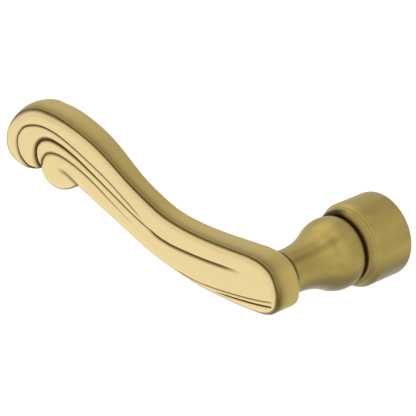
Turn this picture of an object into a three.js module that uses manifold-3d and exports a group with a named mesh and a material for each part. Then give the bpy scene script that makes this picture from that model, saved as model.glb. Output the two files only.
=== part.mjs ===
// Scrolled door lever handle on a fixed bearing collar, right-hand side of a door.
//
// Everything is drawn in the bench frame: x runs along the lever (the grip points to -x),
// y is up and z is the distance out from the door. The exported group then turns that frame
// so that +Z is up and -Y points out of the door, with the origin on the spindle axis at the
// collar's rear face. All sizes are in millimetres.

import * as THREE from "three";
import { TessellateModifier } from "three/addons/modifiers/TessellateModifier.js";
import { mergeVertices } from "three/addons/utils/BufferGeometryUtils.js";
import Module from "manifold-3d";

const wasm = await Module();
wasm.setup();

// ---- fits ------------------------------------------------------------------------------

const seatGap = 0.1; // between two pieces that are pressed, screwed or clamped together
const runGap = 0.1; // play around a turning piece in its bearing
const airGap = 0.25; // free air beside a face that moves past another

// ---- spindle, hub and bearings -----------------------------------------------------------

const spindleAcross = 8;
const socketPlay = 0.05; // between the spindle and each wall of its socket
const hubCornerWall = 2.27; // steel left outside the corners of the socket
const journalStep = 0.6; // the hub is this much slimmer in the rear bearing
const hubRear = 1.2;
const hubInBulb = 13.1; // the hub reaches this far past the rim of the bulb
const bushWall = 0.8;
const bushFlange = 0.6;

// ---- return spring, driver and stop --------------------------------------------------------

const turnRange = THREE.MathUtils.degToRad(45);
const wireRadial = 1.4;
const wireAxial = 0.8;
const coilGap = 0.1;
const coilTurns = 3;
const tangRadius = 0.5;
const tangReach = 1.1;
const tangAngle = THREE.MathUtils.degToRad(200);
const driverThick = 1.4;
const keyWidth = 2;
const keyDepth = 1;
const stopPinRadius = 0.8;
const stopAngle = THREE.MathUtils.degToRad(90);

// ---- collar --------------------------------------------------------------------------------

const shellWall = 2.15;
const collarLength = 13.6; // rear face to the front edge of the drum
const noseRise = 4.1; // the cushion-shaped nose stands this far past that edge
const noseInset = 2.4; // its crown lies this far inside the drum's outer radius
const noseDish = 3.1; // the floor around the bearing lies this far below the crown
const rearEdge = 0.7;
const frontEdge = 0.35;
const recessDepth = 4; // takes the locating ring of the rose
const plateThick = 1.6;
const plateLedge = 0.6;
const lugWidth = 3;
const ringThick = 0.9;
const ringBite = 0.7; // depth of a retaining ring's groove
const ringWidth = 1.8;
const washerThick = 0.4;
const waveThick = 0.3;
const waveHeight = 0.8;
const waveCount = 3;
const collarScrewRadius = 1.5;
const collarScrewOut = 2;

// ---- neck ----------------------------------------------------------------------------------

const glideThick = 1.3;
const rimGap = 1.2; // between the crown of the collar and the rear rim of the bulb
const bulbWall = 3.85; // bulb's thickest wall around the hub
const bossWall = 2.2; // wall of the boss that runs inside the collar's nose
const waistInset = 0.7; // the waist, which is past the hub, is this much slimmer than the hub
const rootFlare = 0.6;
const studRadius = 4;
const studGap = 1; // between the front of the hub and the rear of the stud
const studInGrip = 7.4;
const dowelRadius = 1;
const dowelOffset = 5.4;
const dowelInNeck = 2.6;
const dowelInGrip = 2.8;
const setScrewRadius = 2.5;
const setScrewInBulb = 4.4; // the set screw stands this far past the rim of the bulb
const setScrewSink = 1;
const hexRatio = 0.55; // a screw's hexagon across its corners, as a share of its diameter
const hexDepth = 2.2;

// ---- grip ----------------------------------------------------------------------------------

const faceOut = 55.8; // front face of the grip
const hubThick = 10.4; // grip's thickness behind the spindle axis
const bladeThick = 7.7;
const tipThick = 10.4;
const edgeRound = 1.3;
const leverReach = 120.3; // spindle axis to the end of the scroll
const drawnReach = 120.3; // the reach that the outline below is drawn for
const hubZone = 20; // the part of the outline around the spindle that a longer reach leaves alone

// Front face of the blade, around the scroll at its tip, as [x, y]. A smooth closed curve
// runs through these points.
const bladeOutline = [
  [-102, 31.3], [-90, 30.3], [-76.5, 26.3], [-64, 20.1], [-50, 13], [-36, 9], [-20, 7.8],
  [-5, 7.7], [4.6, 5.8], [8.1, 0], [7.6, -5], [2.5, -7.9], [-9, -8.4], [-25.5, -7.2],
  [-42, -4.1], [-56.5, 0.4], [-71.5, 6.5], [-84, 10.4], [-95, 12], [-105, 10.9], [-113.6, 10.6],
  [-118.6, 14.2], [-118, 20.2], [-111.5, 27.2],
];
// Inner curl of the scroll: an ellipse hanging below the blade.
const curlCentre = [-93.4, 14];
const curlRadii = [8.2, 6.8];
// Where the grip stops being at its thickest, is slimmest and is thickest again.
const thickStations = [-90, -53, 4];

// ---- sizes that follow from the ones above ---------------------------------------------------

const socketHalf = spindleAcross / 2 + socketPlay;
const hubRadius = socketHalf * Math.SQRT2 + hubCornerWall;
const journalRadius = hubRadius - journalStep;
const frontBushRadius = hubRadius + runGap + bushWall;
const rearBushRadius = journalRadius + runGap + bushWall;
const coilRadius = frontBushRadius + seatGap + airGap + wireRadial / 2;
const cavityRadius = coilRadius + wireRadial / 2 + 2 * airGap;
const plateRadius = cavityRadius + plateLedge;
const recessRadius = plateRadius + seatGap;
const collarRadius = recessRadius + shellWall;

const plateRingRear = recessDepth + seatGap;
const plateRear = plateRingRear + ringThick + seatGap;
const plateFront = plateRear + plateThick;
const ledgeOut = plateFront + seatGap;
const driverRear = ledgeOut + airGap;
const driverFront = driverRear + driverThick;
const coilRear = driverFront + airGap;
const coilFront = coilRear + coilTurns * (wireAxial + coilGap) + wireAxial;
const frontTangAngle = tangAngle + coilTurns * 2 * Math.PI;
const frontFlangeRear = coilFront + seatGap;
const frontWallRear = frontFlangeRear + bushFlange + seatGap;
const crownOut = collarLength + noseRise;
const dishFloor = crownOut - noseDish;
const crownRadius = collarRadius - noseInset;
const bossRadius = hubRadius + bossWall;
const rimOut = crownOut + rimGap;
const hubFront = rimOut + hubInBulb;
const studRear = hubFront + studGap;
const setScrewOut = rimOut + setScrewInBulb;
const glideRear = dishFloor + seatGap;
const bossRear = glideRear + glideThick + seatGap;

const rearFlangeFront = plateRear - seatGap;
const rearFlangeRear = rearFlangeFront - bushFlange;
const washerFront = rearFlangeRear - seatGap;
const waveFront = washerFront - washerThick - seatGap;
const hubRingFront = waveFront - waveHeight - seatGap;
const hubRingRear = hubRingFront - ringThick;

const bulbRadius = hubRadius + seatGap + bulbWall;
const waistRadius = hubRadius - waistInset;
const rootRadius = waistRadius + rootFlare;
const backOut = faceOut - hubThick; // rear of the grip where the neck meets it
const neckFront = backOut - seatGap;
const stopPinCircle = cavityRadius - 2 * seatGap - stopPinRadius;
const driverRadius = cavityRadius - 2 * seatGap;

// ---- workshop --------------------------------------------------------------------------------

const largestFacet = 11; // longest edge on the grip's faces
const ROUND = 48; // facets around a large turned piece
const FINE = 16; // facets around a small one

function toSolid(geometry) {
  geometry.deleteAttribute("normal");
  geometry.deleteAttribute("uv");
  const merged = mergeVertices(geometry);
  const index = merged.index.array;
  const triangles = [];
  for (let i = 0; i < index.length; i += 3) {
    const [a, b, c] = index.slice(i, i + 3);
    if (a !== b && b !== c && c !== a) triangles.push(a, b, c);
  }
  return new wasm.Manifold(
    new wasm.Mesh({
      numProp: 3,
      vertProperties: merged.attributes.position.array,
      triVerts: new Uint32Array(triangles),
    }),
  );
}

function toGeometry(solid) {
  const mesh = solid.getMesh();
  const geometry = new THREE.BufferGeometry();
  geometry.setAttribute("position", new THREE.BufferAttribute(mesh.vertProperties, 3));
  geometry.setIndex(new THREE.BufferAttribute(mesh.triVerts, 1));
  geometry.computeVertexNormals();
  return geometry;
}

// A solid of revolution about the spindle axis. The profile is a closed outline of
// [radius, out] points.
function turned(profile, facets = ROUND) {
  const points = profile.map(([radius, out]) => new THREE.Vector2(radius, out));
  if (THREE.ShapeUtils.area(points) < 0) points.reverse();
  points.push(points[0].clone());
  return toSolid(new THREE.LatheGeometry(points, facets).rotateX(Math.PI / 2));
}

function ring(inner, outer, rear, front, facets = ROUND) {
  return turned([[inner, rear], [outer, rear], [outer, front], [inner, front]], facets);
}

// A flanged bush: a sleeve from rear to front and a flange on the side named by its span.
function flangedBush(bore, outer, rear, front, flangeRadius, flangeRear, flangeFront) {
  return ring(bore, outer, rear, front).add(ring(bore, flangeRadius, flangeRear, flangeFront));
}

function slab(shape, rear, front, curveSegments = FINE) {
  const geometry = new THREE.ExtrudeGeometry(shape, {
    depth: front - rear,
    bevelEnabled: false,
    curveSegments,
  });
  return toSolid(geometry.translate(0, 0, rear));
}

function block(width, height, rear, front, x, y) {
  const geometry = new THREE.BoxGeometry(width, height, front - rear);
  return toSolid(geometry.translate(x, y, (rear + front) / 2));
}

// A round pin along the spindle axis, standing off it by the given offset.
function pin(radius, rear, front, x = 0, y = 0, facets = FINE) {
  const geometry = new THREE.CylinderGeometry(radius, radius, front - rear, facets);
  return toSolid(geometry.rotateX(Math.PI / 2).translate(x, y, (rear + front) / 2));
}

// A vertical pin below the spindle axis, from one depth down to another.
function dropPin(radius, from, to, out, facets = FINE) {
  const geometry = new THREE.CylinderGeometry(radius, radius, to - from, facets);
  return toSolid(geometry.translate(0, -(from + to) / 2, out));
}

function onCircle(radius, angle) {
  return [radius * Math.cos(angle), radius * Math.sin(angle)];
}

// A band of the plane between two radii and two angles.
function sector(inner, outer, start, end) {
  const shape = new THREE.Shape();
  shape.absarc(0, 0, outer, start, end, false);
  shape.absarc(0, 0, inner, end, start, true);
  shape.closePath();
  return shape;
}

// A spring ring with a gap at the given angle and a rounded eye for the pliers at each end.
// The eyes stand on the side away from the groove, so eyeCircle lies beyond the free edge.
function retainingRing(inner, outer, rear, angle, gap, eyeCircle) {
  const start = angle + gap / 2;
  const end = angle - gap / 2 + 2 * Math.PI;
  const eye = ringWidth / 2;
  let solid = slab(sector(inner, outer, start, end), rear, rear + ringThick, ROUND / 2);
  for (const side of [start, end]) {
    const [x, y] = onCircle(eyeCircle, side);
    solid = solid
      .add(pin(eye, rear, rear + ringThick, x, y))
      .subtract(pin(eye / 2, rear - airGap, rear + ringThick + airGap, x, y));
  }
  return solid;
}

// A headless screw hanging below the spindle axis, with a hexagon socket in its lower end.
function grubScrew(radius, from, to, out) {
  const socket = dropPin(radius * hexRatio, to - Math.min(hexDepth, (to - from) / 2), to + 1, out, 6);
  return dropPin(radius, from, to, out).subtract(socket);
}

// ---- fixed pieces --------------------------------------------------------------------------

function collarShell() {
  const shell = turned([
    [recessRadius, 0],
    [collarRadius - rearEdge, 0],
    [collarRadius - rearEdge * 0.3, rearEdge * 0.3],
    [collarRadius, rearEdge],
    [collarRadius, collarLength - frontEdge],
    [collarRadius - frontEdge, collarLength],
    [collarRadius - noseInset * 0.5, collarLength + noseRise * 0.29],
    [collarRadius - noseInset * 0.8, crownOut - noseRise * 0.1],
    [crownRadius, crownOut],
    [bossRadius + airGap, crownOut - 0.3],
    [bossRadius + airGap, dishFloor],
    [frontBushRadius + seatGap, dishFloor],
    [frontBushRadius + seatGap, frontWallRear],
    [cavityRadius, frontWallRear],
    [cavityRadius, ledgeOut],
    [recessRadius, ledgeOut],
    [recessRadius, plateRingRear + ringThick + seatGap / 2],
    [recessRadius + ringBite + seatGap, plateRingRear + ringThick + seatGap / 2],
    [recessRadius + ringBite + seatGap, recessDepth],
    [recessRadius, recessDepth],
  ]);
  const lugSlot = block(
    recessRadius + ringBite, lugWidth + 2 * seatGap, recessDepth, ledgeOut,
    (recessRadius + ringBite) / 2, 0,
  );
  const [tangX, tangY] = onCircle(coilRadius, frontTangAngle);
  const anchorHole = pin(
    tangRadius + seatGap, frontWallRear - airGap, coilFront + tangReach + seatGap, tangX, tangY,
  );
  const screwHole = dropPin(
    collarScrewRadius + seatGap, recessRadius - 1, collarRadius + 1, collarScrewOut,
  );
  return shell.subtract(lugSlot).subtract(anchorHole).subtract(screwHole);
}

function frontBush() {
  const bore = hubRadius + runGap;
  const flangeFront = frontFlangeRear + bushFlange;
  const bush = flangedBush(
    bore, frontBushRadius, frontFlangeRear, dishFloor,
    cavityRadius - airGap, frontFlangeRear, flangeFront,
  );
  const [tangX, tangY] = onCircle(coilRadius, frontTangAngle);
  const tangHole = pin(tangRadius + seatGap, frontFlangeRear - 1, flangeFront + 1, tangX, tangY);
  return bush.subtract(tangHole);
}

function backPlate() {
  const disc = ring(rearBushRadius + seatGap, plateRadius, plateRear, plateFront);
  const lugReach = recessRadius + ringBite - seatGap;
  const lug = block(
    lugReach - plateRadius + 1, lugWidth, plateRear, plateFront,
    (lugReach + plateRadius - 1) / 2, 0,
  );
  const [x, y] = onCircle(stopPinCircle, stopAngle);
  const pinHole = pin(stopPinRadius + seatGap, plateRear - 1, plateFront + 1, x, y);
  return disc.add(lug).subtract(pinHole);
}

function rearBush() {
  return flangedBush(
    journalRadius + runGap, rearBushRadius, rearFlangeRear, plateFront,
    rearBushRadius + bushWall, rearFlangeRear, rearFlangeFront,
  );
}

function plateRing() {
  const outer = recessRadius + ringBite;
  return retainingRing(
    outer - ringWidth, outer, plateRingRear, Math.PI / 2, 0.5, outer - ringWidth,
  );
}

function stopPin() {
  const [x, y] = onCircle(stopPinCircle, stopAngle);
  return pin(stopPinRadius, plateRear + seatGap, driverFront, x, y);
}

// Flat wire wound on edge: a straight bar is bent point by point into a helix, and a round
// tang at each end reaches into the driver and through the bush into the collar's wall.
function returnSpring() {
  const length = coilTurns * 2 * Math.PI;
  const steps = Math.round(coilTurns * 40);
  const section = new THREE.Shape();
  section.moveTo(-wireRadial / 2, 0);
  section.lineTo(wireRadial / 2, 0);
  section.lineTo(wireRadial / 2, wireAxial);
  section.lineTo(-wireRadial / 2, wireAxial);
  const bar = new THREE.ExtrudeGeometry(section, { depth: length, steps, bevelEnabled: false });
  const points = bar.attributes.position;
  for (let i = 0; i < points.count; i++) {
    const sweep = points.getZ(i);
    const radius = coilRadius + points.getX(i);
    const climb = (sweep / length) * coilTurns * (wireAxial + coilGap);
    const [x, y] = onCircle(radius, tangAngle + sweep);
    points.setXYZ(i, x, y, coilRear + climb + points.getY(i));
  }
  // bending the bar this way round turns its faces inwards, so each triangle is flipped back
  const coil = toSolid(flipped(bar));
  const [rearX, rearY] = onCircle(coilRadius, tangAngle);
  const [frontX, frontY] = onCircle(coilRadius, frontTangAngle);
  const rearTang = pin(tangRadius, coilRear - tangReach, coilRear + wireAxial / 2, rearX, rearY);
  const frontTang = pin(
    tangRadius, coilFront - wireAxial / 2, coilFront + tangReach, frontX, frontY,
  );
  return coil.add(rearTang).add(frontTang);
}

function flipped(geometry) {
  const points = geometry.attributes.position;
  const order = [];
  for (let i = 0; i < points.count; i += 3) order.push(i, i + 2, i + 1);
  geometry.setIndex(order);
  return geometry;
}

function glideRing() {
  return ring(hubRadius + runGap, bossRadius, glideRear, glideRear + glideThick);
}

// ---- pieces that turn with the lever ---------------------------------------------------------

function driveHub() {
  const grooveRadius = journalRadius - ringBite;
  const body = turned([
    [0, hubRear],
    [journalRadius - 0.4, hubRear],
    [journalRadius, hubRear + 0.4],
    [journalRadius, hubRingRear - seatGap / 2],
    [grooveRadius, hubRingRear - seatGap / 2],
    [grooveRadius, hubRingFront + seatGap / 2],
    [journalRadius, hubRingFront + seatGap / 2],
    [journalRadius, plateFront + seatGap],
    [hubRadius, plateFront + seatGap],
    [hubRadius, hubFront - 0.5],
    [hubRadius - 0.5, hubFront],
    [0, hubFront],
  ]);
  const socket = block(2 * socketHalf, 2 * socketHalf, hubRear - 1, hubFront + 1, 0, 0);
  const keySeat = block(
    keyWidth + 2 * seatGap, keyDepth + 1 + seatGap, driverRear - seatGap, driverFront + seatGap,
    0, -(hubRadius + (1 - keyDepth - seatGap) / 2),
  );
  const screwHole = dropPin(setScrewRadius + seatGap, socketHalf - 1, hubRadius + 1, setScrewOut);
  return body.subtract(socket).subtract(keySeat).subtract(screwHole);
}

// A disc keyed to the hub. The stop pin stands in its notch, which is as long as the lever
// turns, and the spring's tang in its hole.
function springDriver() {
  const play = (stopPinRadius + seatGap) / stopPinCircle;
  const notch = slab(
    sector(
      stopPinCircle - stopPinRadius - seatGap, cavityRadius + 1,
      stopAngle - turnRange - play, stopAngle + play,
    ),
    driverRear - 1, driverFront + 1,
  );
  const keyway = block(
    keyWidth + 2 * seatGap, keyDepth + 2 * seatGap + 1, driverRear - 1, driverFront + 1,
    0, -(hubRadius + (keyDepth + 2 * seatGap - 1) / 2),
  );
  const [tangX, tangY] = onCircle(coilRadius, tangAngle);
  const tangHole = pin(tangRadius + seatGap, driverRear - 1, driverFront + 1, tangX, tangY);
  return ring(hubRadius + seatGap, driverRadius, driverRear, driverFront)
    .subtract(notch)
    .subtract(keyway)
    .subtract(tangHole);
}

function driverKey() {
  return block(keyWidth, 2 * keyDepth, driverRear, driverFront, 0, -hubRadius);
}

function thrustWasher() {
  return ring(
    journalRadius + runGap, rearBushRadius + bushWall, washerFront - washerThick, washerFront,
  );
}

// A thin ring whose height swings through a whole number of waves on its way round.
function waveWasher() {
  const inner = journalRadius + runGap;
  const outer = rearBushRadius + bushWall / 2;
  const profile = [[inner, 0], [outer, 0], [outer, waveThick], [inner, waveThick], [inner, 0]];
  const points = profile.map(([radius, out]) => new THREE.Vector2(radius, out));
  const geometry = new THREE.LatheGeometry(points, ROUND).rotateX(Math.PI / 2);
  const swing = (waveHeight - waveThick) / 2;
  const position = geometry.attributes.position;
  for (let i = 0; i < position.count; i++) {
    const angle = Math.atan2(position.getY(i), position.getX(i));
    const lift = waveFront - waveHeight + swing * (1 + Math.cos(waveCount * angle));
    position.setZ(i, position.getZ(i) + lift);
  }
  return toSolid(geometry);
}

function hubRing() {
  const inner = journalRadius - ringBite + seatGap / 2;
  return retainingRing(
    inner, inner + ringWidth, hubRingRear, -Math.PI / 2, 0.7, inner + ringWidth,
  );
}

// Bulb, waist and flared root, turned in one piece. A smooth curve runs from the rim of the
// bulb to the root, where the grip sits.
function neck() {
  const span = neckFront - rimOut;
  const outside = new THREE.SplineCurve(
    [
      [bulbRadius - 0.65, rimOut],
      [bulbRadius, rimOut + span * 0.14],
      [bulbRadius - 0.85, rimOut + span * 0.3],
      [(bulbRadius + waistRadius) / 2 - 0.1, rimOut + span * 0.42],
      [waistRadius + 1, rimOut + span * 0.55],
      [waistRadius + 0.2, rimOut + span * 0.69],
      [waistRadius, rimOut + span * 0.84],
      [rootRadius, neckFront],
    ].map(([radius, out]) => new THREE.Vector2(radius, out)),
  );
  const body = turned([
    [hubRadius + seatGap, bossRear],
    [bossRadius, bossRear],
    [bossRadius, rimOut - 0.1],
    [bulbRadius - 1, rimOut - 0.2],
    ...outside.getPoints(18).map((point) => [point.x, point.y]),
    [studRadius + seatGap, neckFront],
    [studRadius + seatGap, hubFront + seatGap],
    [hubRadius + seatGap, hubFront + seatGap],
  ]);
  const screwHole = dropPin(setScrewRadius + seatGap, hubRadius - 1, bulbRadius + 1, setScrewOut);
  const dowelHole = pin(
    dowelRadius + seatGap, neckFront - dowelInNeck - seatGap, neckFront + 1, 0, -dowelOffset,
  );
  return body.subtract(screwHole).subtract(dowelHole);
}

function joiningStud() {
  const chamfer = 0.6;
  const front = backOut + studInGrip;
  return turned([
    [0, studRear],
    [studRadius - chamfer, studRear],
    [studRadius, studRear + chamfer],
    [studRadius, front - chamfer],
    [studRadius - chamfer, front],
    [0, front],
  ], 2 * FINE);
}

function locatingDowel() {
  return pin(dowelRadius, neckFront - dowelInNeck, backOut + dowelInGrip, 0, -dowelOffset);
}

function setScrew() {
  return grubScrew(setScrewRadius, socketHalf + seatGap, bulbRadius - setScrewSink, setScrewOut);
}

function collarScrew() {
  return grubScrew(
    collarScrewRadius, recessRadius - 0.6, collarRadius - 0.3, collarScrewOut,
  );
}

// A longer reach moves only what lies beyond the hub zone.
function stretched(x) {
  const stretch = (leverReach - hubZone) / (drawnReach - hubZone);
  return x < -hubZone ? (x + hubZone) * stretch - hubZone : x;
}

// Thickness of the grip at x, easing between the thick scroll, the slim blade and the hub.
function thicknessAt(x) {
  const [tipStart, bladeMiddle, hubStart] = thickStations.map(stretched);
  const { smootherstep, lerp } = THREE.MathUtils;
  if (x < bladeMiddle) return lerp(tipThick, bladeThick, smootherstep(x, tipStart, bladeMiddle));
  return lerp(bladeThick, hubThick, smootherstep(x, bladeMiddle, hubStart));
}

// A flat outline thickened behind the front face, with rounded edges all round. Its faces are
// cut into small triangles first, so that the back can follow the change in thickness.
function bladeSolid(shape, curveSegments) {
  const flat = new THREE.ExtrudeGeometry(shape, {
    depth: 1,
    bevelThickness: 1,
    bevelSize: edgeRound,
    bevelSegments: 3,
    curveSegments,
  });
  const geometry = new TessellateModifier(largestFacet, 12).modify(flat);
  const position = geometry.attributes.position;
  for (let i = 0; i < position.count; i++) {
    const thickness = thicknessAt(position.getX(i));
    const z = position.getZ(i);
    const behind = z > 0.5 ? (2 - z) * edgeRound : thickness - (z + 1) * edgeRound;
    position.setZ(i, faceOut - behind);
  }
  return toSolid(geometry);
}

function leverGrip() {
  const outline = bladeOutline.map(([x, y]) => new THREE.Vector3(stretched(x), y, 0));
  const curve = new THREE.CatmullRomCurve3(outline, true, "centripetal");
  const blade = new THREE.Shape(curve.getSpacedPoints(84).slice(0, -1));
  const curl = new THREE.Shape();
  curl.absellipse(stretched(curlCentre[0]), curlCentre[1], ...curlRadii, 0, 2 * Math.PI);
  const studHole = pin(
    studRadius + seatGap, backOut - 1, backOut + studInGrip + seatGap, 0, 0, 2 * FINE,
  );
  const dowelHole = pin(
    dowelRadius + seatGap, backOut - 1, backOut + dowelInGrip + seatGap, 0, -dowelOffset,
  );
  return bladeSolid(blade, 1)
    .add(bladeSolid(curl, FINE))
    .subtract(studHole)
    .subtract(dowelHole);
}

// ---- finishes --------------------------------------------------------------------------------

const finishes = {
  satinBrass: { color: 0xb39b52, roughness: 0.38, metalness: 1 },
  paleBrass: { color: 0xd8c078, roughness: 0.36, metalness: 1 },
  steel: { color: 0x8c9094, roughness: 0.35, metalness: 1 },
  springSteel: { color: 0x55585c, roughness: 0.4, metalness: 1 },
  nylon: { color: 0xe6e2d6, roughness: 0.55, metalness: 0 },
};

// ---- assembly --------------------------------------------------------------------------------

function assembly(pieces) {
  const group = new THREE.Group();
  for (const [name, build, finish] of pieces) {
    const mesh = new THREE.Mesh(
      toGeometry(build()),
      new THREE.MeshStandardMaterial(finishes[finish]),
    );
    mesh.name = name;
    group.add(mesh);
  }
  return group;
}

const collar = assembly([
  ["collar_shell", collarShell, "satinBrass"],
  ["front_bush", frontBush, "nylon"],
  ["back_plate", backPlate, "steel"],
  ["rear_bush", rearBush, "nylon"],
  ["plate_ring", plateRing, "springSteel"],
  ["stop_pin", stopPin, "steel"],
  ["return_spring", returnSpring, "springSteel"],
  ["glide_ring", glideRing, "nylon"],
  ["collar_screw", collarScrew, "steel"],
]);

const lever = assembly([
  ["lever_grip", leverGrip, "paleBrass"],
  ["neck", neck, "satinBrass"],
  ["joining_stud", joiningStud, "steel"],
  ["locating_dowel", locatingDowel, "steel"],
  ["drive_hub", driveHub, "steel"],
  ["spring_driver", springDriver, "steel"],
  ["driver_key", driverKey, "steel"],
  ["thrust_washer", thrustWasher, "steel"],
  ["wave_washer", waveWasher, "springSteel"],
  ["hub_ring", hubRing, "springSteel"],
  ["set_screw", setScrew, "steel"],
]);

const group = new THREE.Group();
group.add(collar, lever);
group.rotation.x = Math.PI / 2;

export default group;
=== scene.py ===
"""Scrolled door lever handle in satin antique brass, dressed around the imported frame.

The frame is +Z up with the wall behind it at +Y: the spindle axis is Y through the origin, the
grip's carved face looks along -Y and the scroll hangs out to -X. Lengths below are millimetres
until place() turns them into the frame's metres.
"""
import math

import bmesh
import bpy
import numpy as np
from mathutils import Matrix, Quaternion, Vector


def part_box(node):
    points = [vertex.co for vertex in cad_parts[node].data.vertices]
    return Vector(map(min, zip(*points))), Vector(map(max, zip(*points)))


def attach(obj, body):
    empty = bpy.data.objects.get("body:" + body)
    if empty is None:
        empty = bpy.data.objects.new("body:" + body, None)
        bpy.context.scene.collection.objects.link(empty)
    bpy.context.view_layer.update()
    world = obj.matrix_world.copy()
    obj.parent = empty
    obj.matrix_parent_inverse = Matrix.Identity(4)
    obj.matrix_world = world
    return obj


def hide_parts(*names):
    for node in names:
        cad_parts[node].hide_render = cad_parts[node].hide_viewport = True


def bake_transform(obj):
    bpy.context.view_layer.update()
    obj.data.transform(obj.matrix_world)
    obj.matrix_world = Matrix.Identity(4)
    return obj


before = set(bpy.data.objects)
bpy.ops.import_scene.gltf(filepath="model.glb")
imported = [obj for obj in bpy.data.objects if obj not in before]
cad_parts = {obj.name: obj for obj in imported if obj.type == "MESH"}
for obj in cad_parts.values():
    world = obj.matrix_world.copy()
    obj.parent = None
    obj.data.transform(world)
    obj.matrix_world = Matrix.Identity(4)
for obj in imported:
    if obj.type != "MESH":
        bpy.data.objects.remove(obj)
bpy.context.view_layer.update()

MM = 0.001


def node_box(node):
    """Lowest and highest corner of a CAD node, in millimetres."""
    low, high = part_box(node)
    return np.array(low) / MM, np.array(high) / MM


grip_low = node_box("lever_grip")[0]
neck_low = node_box("neck")[0]
shell_low, shell_high = node_box("collar_shell")

# ---- shapes --------------------------------------------------------------------------------

TURN = 2 * math.pi
GRIP_STEP = 0.28  # mean distance between samples along the ridge
CURL_STEP = 0.15
CROWDING = 0.35  # the samples lie further apart at the notch, and crowd towards the cusp
CURVE_FINE = 24  # samples on each span of a drawn curve


def smoothstep(x, start, end):
    """0 before start, 1 after end, and an S-shaped cubic between them."""
    t = np.clip((x - start) / (end - start), 0, 1)
    return t * t * (3 - 2 * t)


def fair_curve(points, step, crowding=0):
    """A smooth curve through the points, sampled evenly or crowding towards its end.

    Each span is a cubic in chord length. Its slope at a point is that of the parabola through
    the point and its two neighbours, and the two ends carry on in the same bend. With u from 0
    to 1, the samples lie at the length times (1 + crowding) u - crowding u cubed.
    """
    p = np.asarray(points, float)
    chord = np.diff(p, axis=0)
    h = np.linalg.norm(chord, axis=1)[:, None]
    slope = chord / h
    inner = (slope[:-1] * h[1:] + slope[1:] * h[:-1]) / (h[:-1] + h[1:])
    tangent = np.vstack([2 * slope[0] - inner[0], inner, 2 * slope[-1] - inner[-1]])
    u = np.linspace(0, 1, CURVE_FINE, endpoint=False)[:, None, None]
    cubic = (
        (1 + 2 * u) * (1 - u) ** 2 * p[:-1]
        + u * (1 - u) ** 2 * h * tangent[:-1]
        + u**2 * (3 - 2 * u) * p[1:]
        + u**2 * (u - 1) * h * tangent[1:]
    )
    dense = np.vstack([cubic.transpose(1, 0, 2).reshape(-1, p.shape[1]), p[-1:]])
    run = np.r_[0, np.cumsum(np.linalg.norm(np.diff(dense, axis=0), axis=1))]
    u = np.linspace(0, 1, max(3, int(round(run[-1] / step)) + 1))
    place_on = run[-1] * (u * (1 + crowding) - crowding * u**3)
    return np.column_stack([np.interp(place_on, run, axis) for axis in dense.T])


def place(name, points, faces, smooth_angle=35):
    """A mesh object at the origin from points in millimetres, shaded smooth but for its creases."""
    mesh = bpy.data.meshes.new(name)
    mesh.from_pydata((np.asarray(points) * MM).tolist(), [], faces)
    mesh.validate()
    piece = bpy.data.objects.new(name, mesh)
    bpy.context.scene.collection.objects.link(piece)
    smooth(piece, smooth_angle)
    return piece


def smooth(piece, degrees):
    """Smooth shading, broken where two faces meet at more than this angle."""
    mesh = piece.data
    mesh.shade_smooth()
    mesh.set_sharp_from_angle(angle=math.radians(degrees))
    return piece


def grid_faces(rows, columns):
    """Quads of a grid that closes on itself along its columns."""
    index = np.arange(rows * columns).reshape(rows, columns)
    after = np.roll(index, -1, axis=1)
    quads = np.stack([index[:-1], index[1:], after[1:], after[:-1]], axis=-1)
    return quads.reshape(-1, 4)


# ---- the carved grip -------------------------------------------------------------------------

# The ridge: the front edge of the grip's face, as (x, z). It runs from the notch below the
# curl along the underside, round the hub and back along the top to the cusp under the scroll.
RIDGE = [
    (-83.5, 10.3), (-76, 7.3), (-64, 2.7), (-56.5, -0.2), (-49, -3.0), (-42, -4.9), (-35, -6.4),
    (-25.5, -8.0), (-17, -8.6), (-9, -8.9), (-2, -8.8), (2.6, -8.3), (5.8, -7.1), (7.7, -5.1),
    (8.3, -2.6), (7.6, 1.6), (5.6, 5.0), (2.2, 6.9), (-2.5, 7.7), (-9, 7.7), (-19, 7.6),
    (-29, 8.0), (-36, 8.8), (-43, 10.3), (-50, 13.0), (-58, 17.0), (-64, 20.4), (-70, 23.7),
    (-76.5, 26.6), (-83, 28.6), (-89.4, 29.8), (-95.9, 30.4), (-101.5, 30.5), (-105.4, 29.7),
    (-109, 28.2), (-112.5, 26.0), (-115.5, 23.5), (-117.6, 21.1), (-118.8, 18.4),
    (-119.1, 15.6), (-118.3, 13.3), (-116.4, 11.5), (-113.3, 10.0), (-109.4, 9.5),
    (-105, 10.3), (-101.6, 11.8),
]
# The inner curl, hanging below the blade, from that cusp back to the notch.
CURL = [
    (-101.6, 11.8), (-101, 9.6), (-99.6, 8.0), (-97.6, 6.9), (-94.6, 6.3), (-91.4, 6.6),
    (-88.2, 7.7), (-85.6, 9.1), (-83.5, 10.3),
]
# The line that the face's cross-lines meet on, from the scroll to the hub.
SPINE = [
    (-107.5, 20.4), (-100, 22), (-90, 20.6), (-76.5, 16.8), (-64, 11.4), (-50, 5.0),
    (-36, 1.2), (-20, -0.6), (-2.5, -0.8),
]
SPINE_STEP = 0.6
FACE_ROWS = 58
EDGE_ROWS = 6
WALL_ROWS = 7
WALL_CROWDING = 1.5  # the side's rows crowd towards the front by this power
BACK_ROWS = 6
GRIP_CREASE = 70

TOP_LAP = 1.3  # how far the side stands outside the ridge, on top and round the hub
SLOPE_LAP = 0.85
SCROLL_LAP = 1.9
TIP_LAP = 1.2
TIP_FLARE = 0.8  # on the scroll's left shoulder the side leans out this much at the back
TIP_CROWN = 0.8  # and swells this much more between front and back
UNDER_LAP = 0.55
HUB_SHARE = 0.75  # the right end has this share of what the top's lap has over the underside's
CORNER_TAPER = 0.6  # near the cusp and the notch the lap grows by this much per millimetre
# The laps blend into each other between these distances to the left of the spindle axis.
HUB_FROM = (4, -6)
SLOPE_FROM = (50, 62)
SCROLL_FROM = (80, 96)
TIP_FROM = (112, 118)
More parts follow.
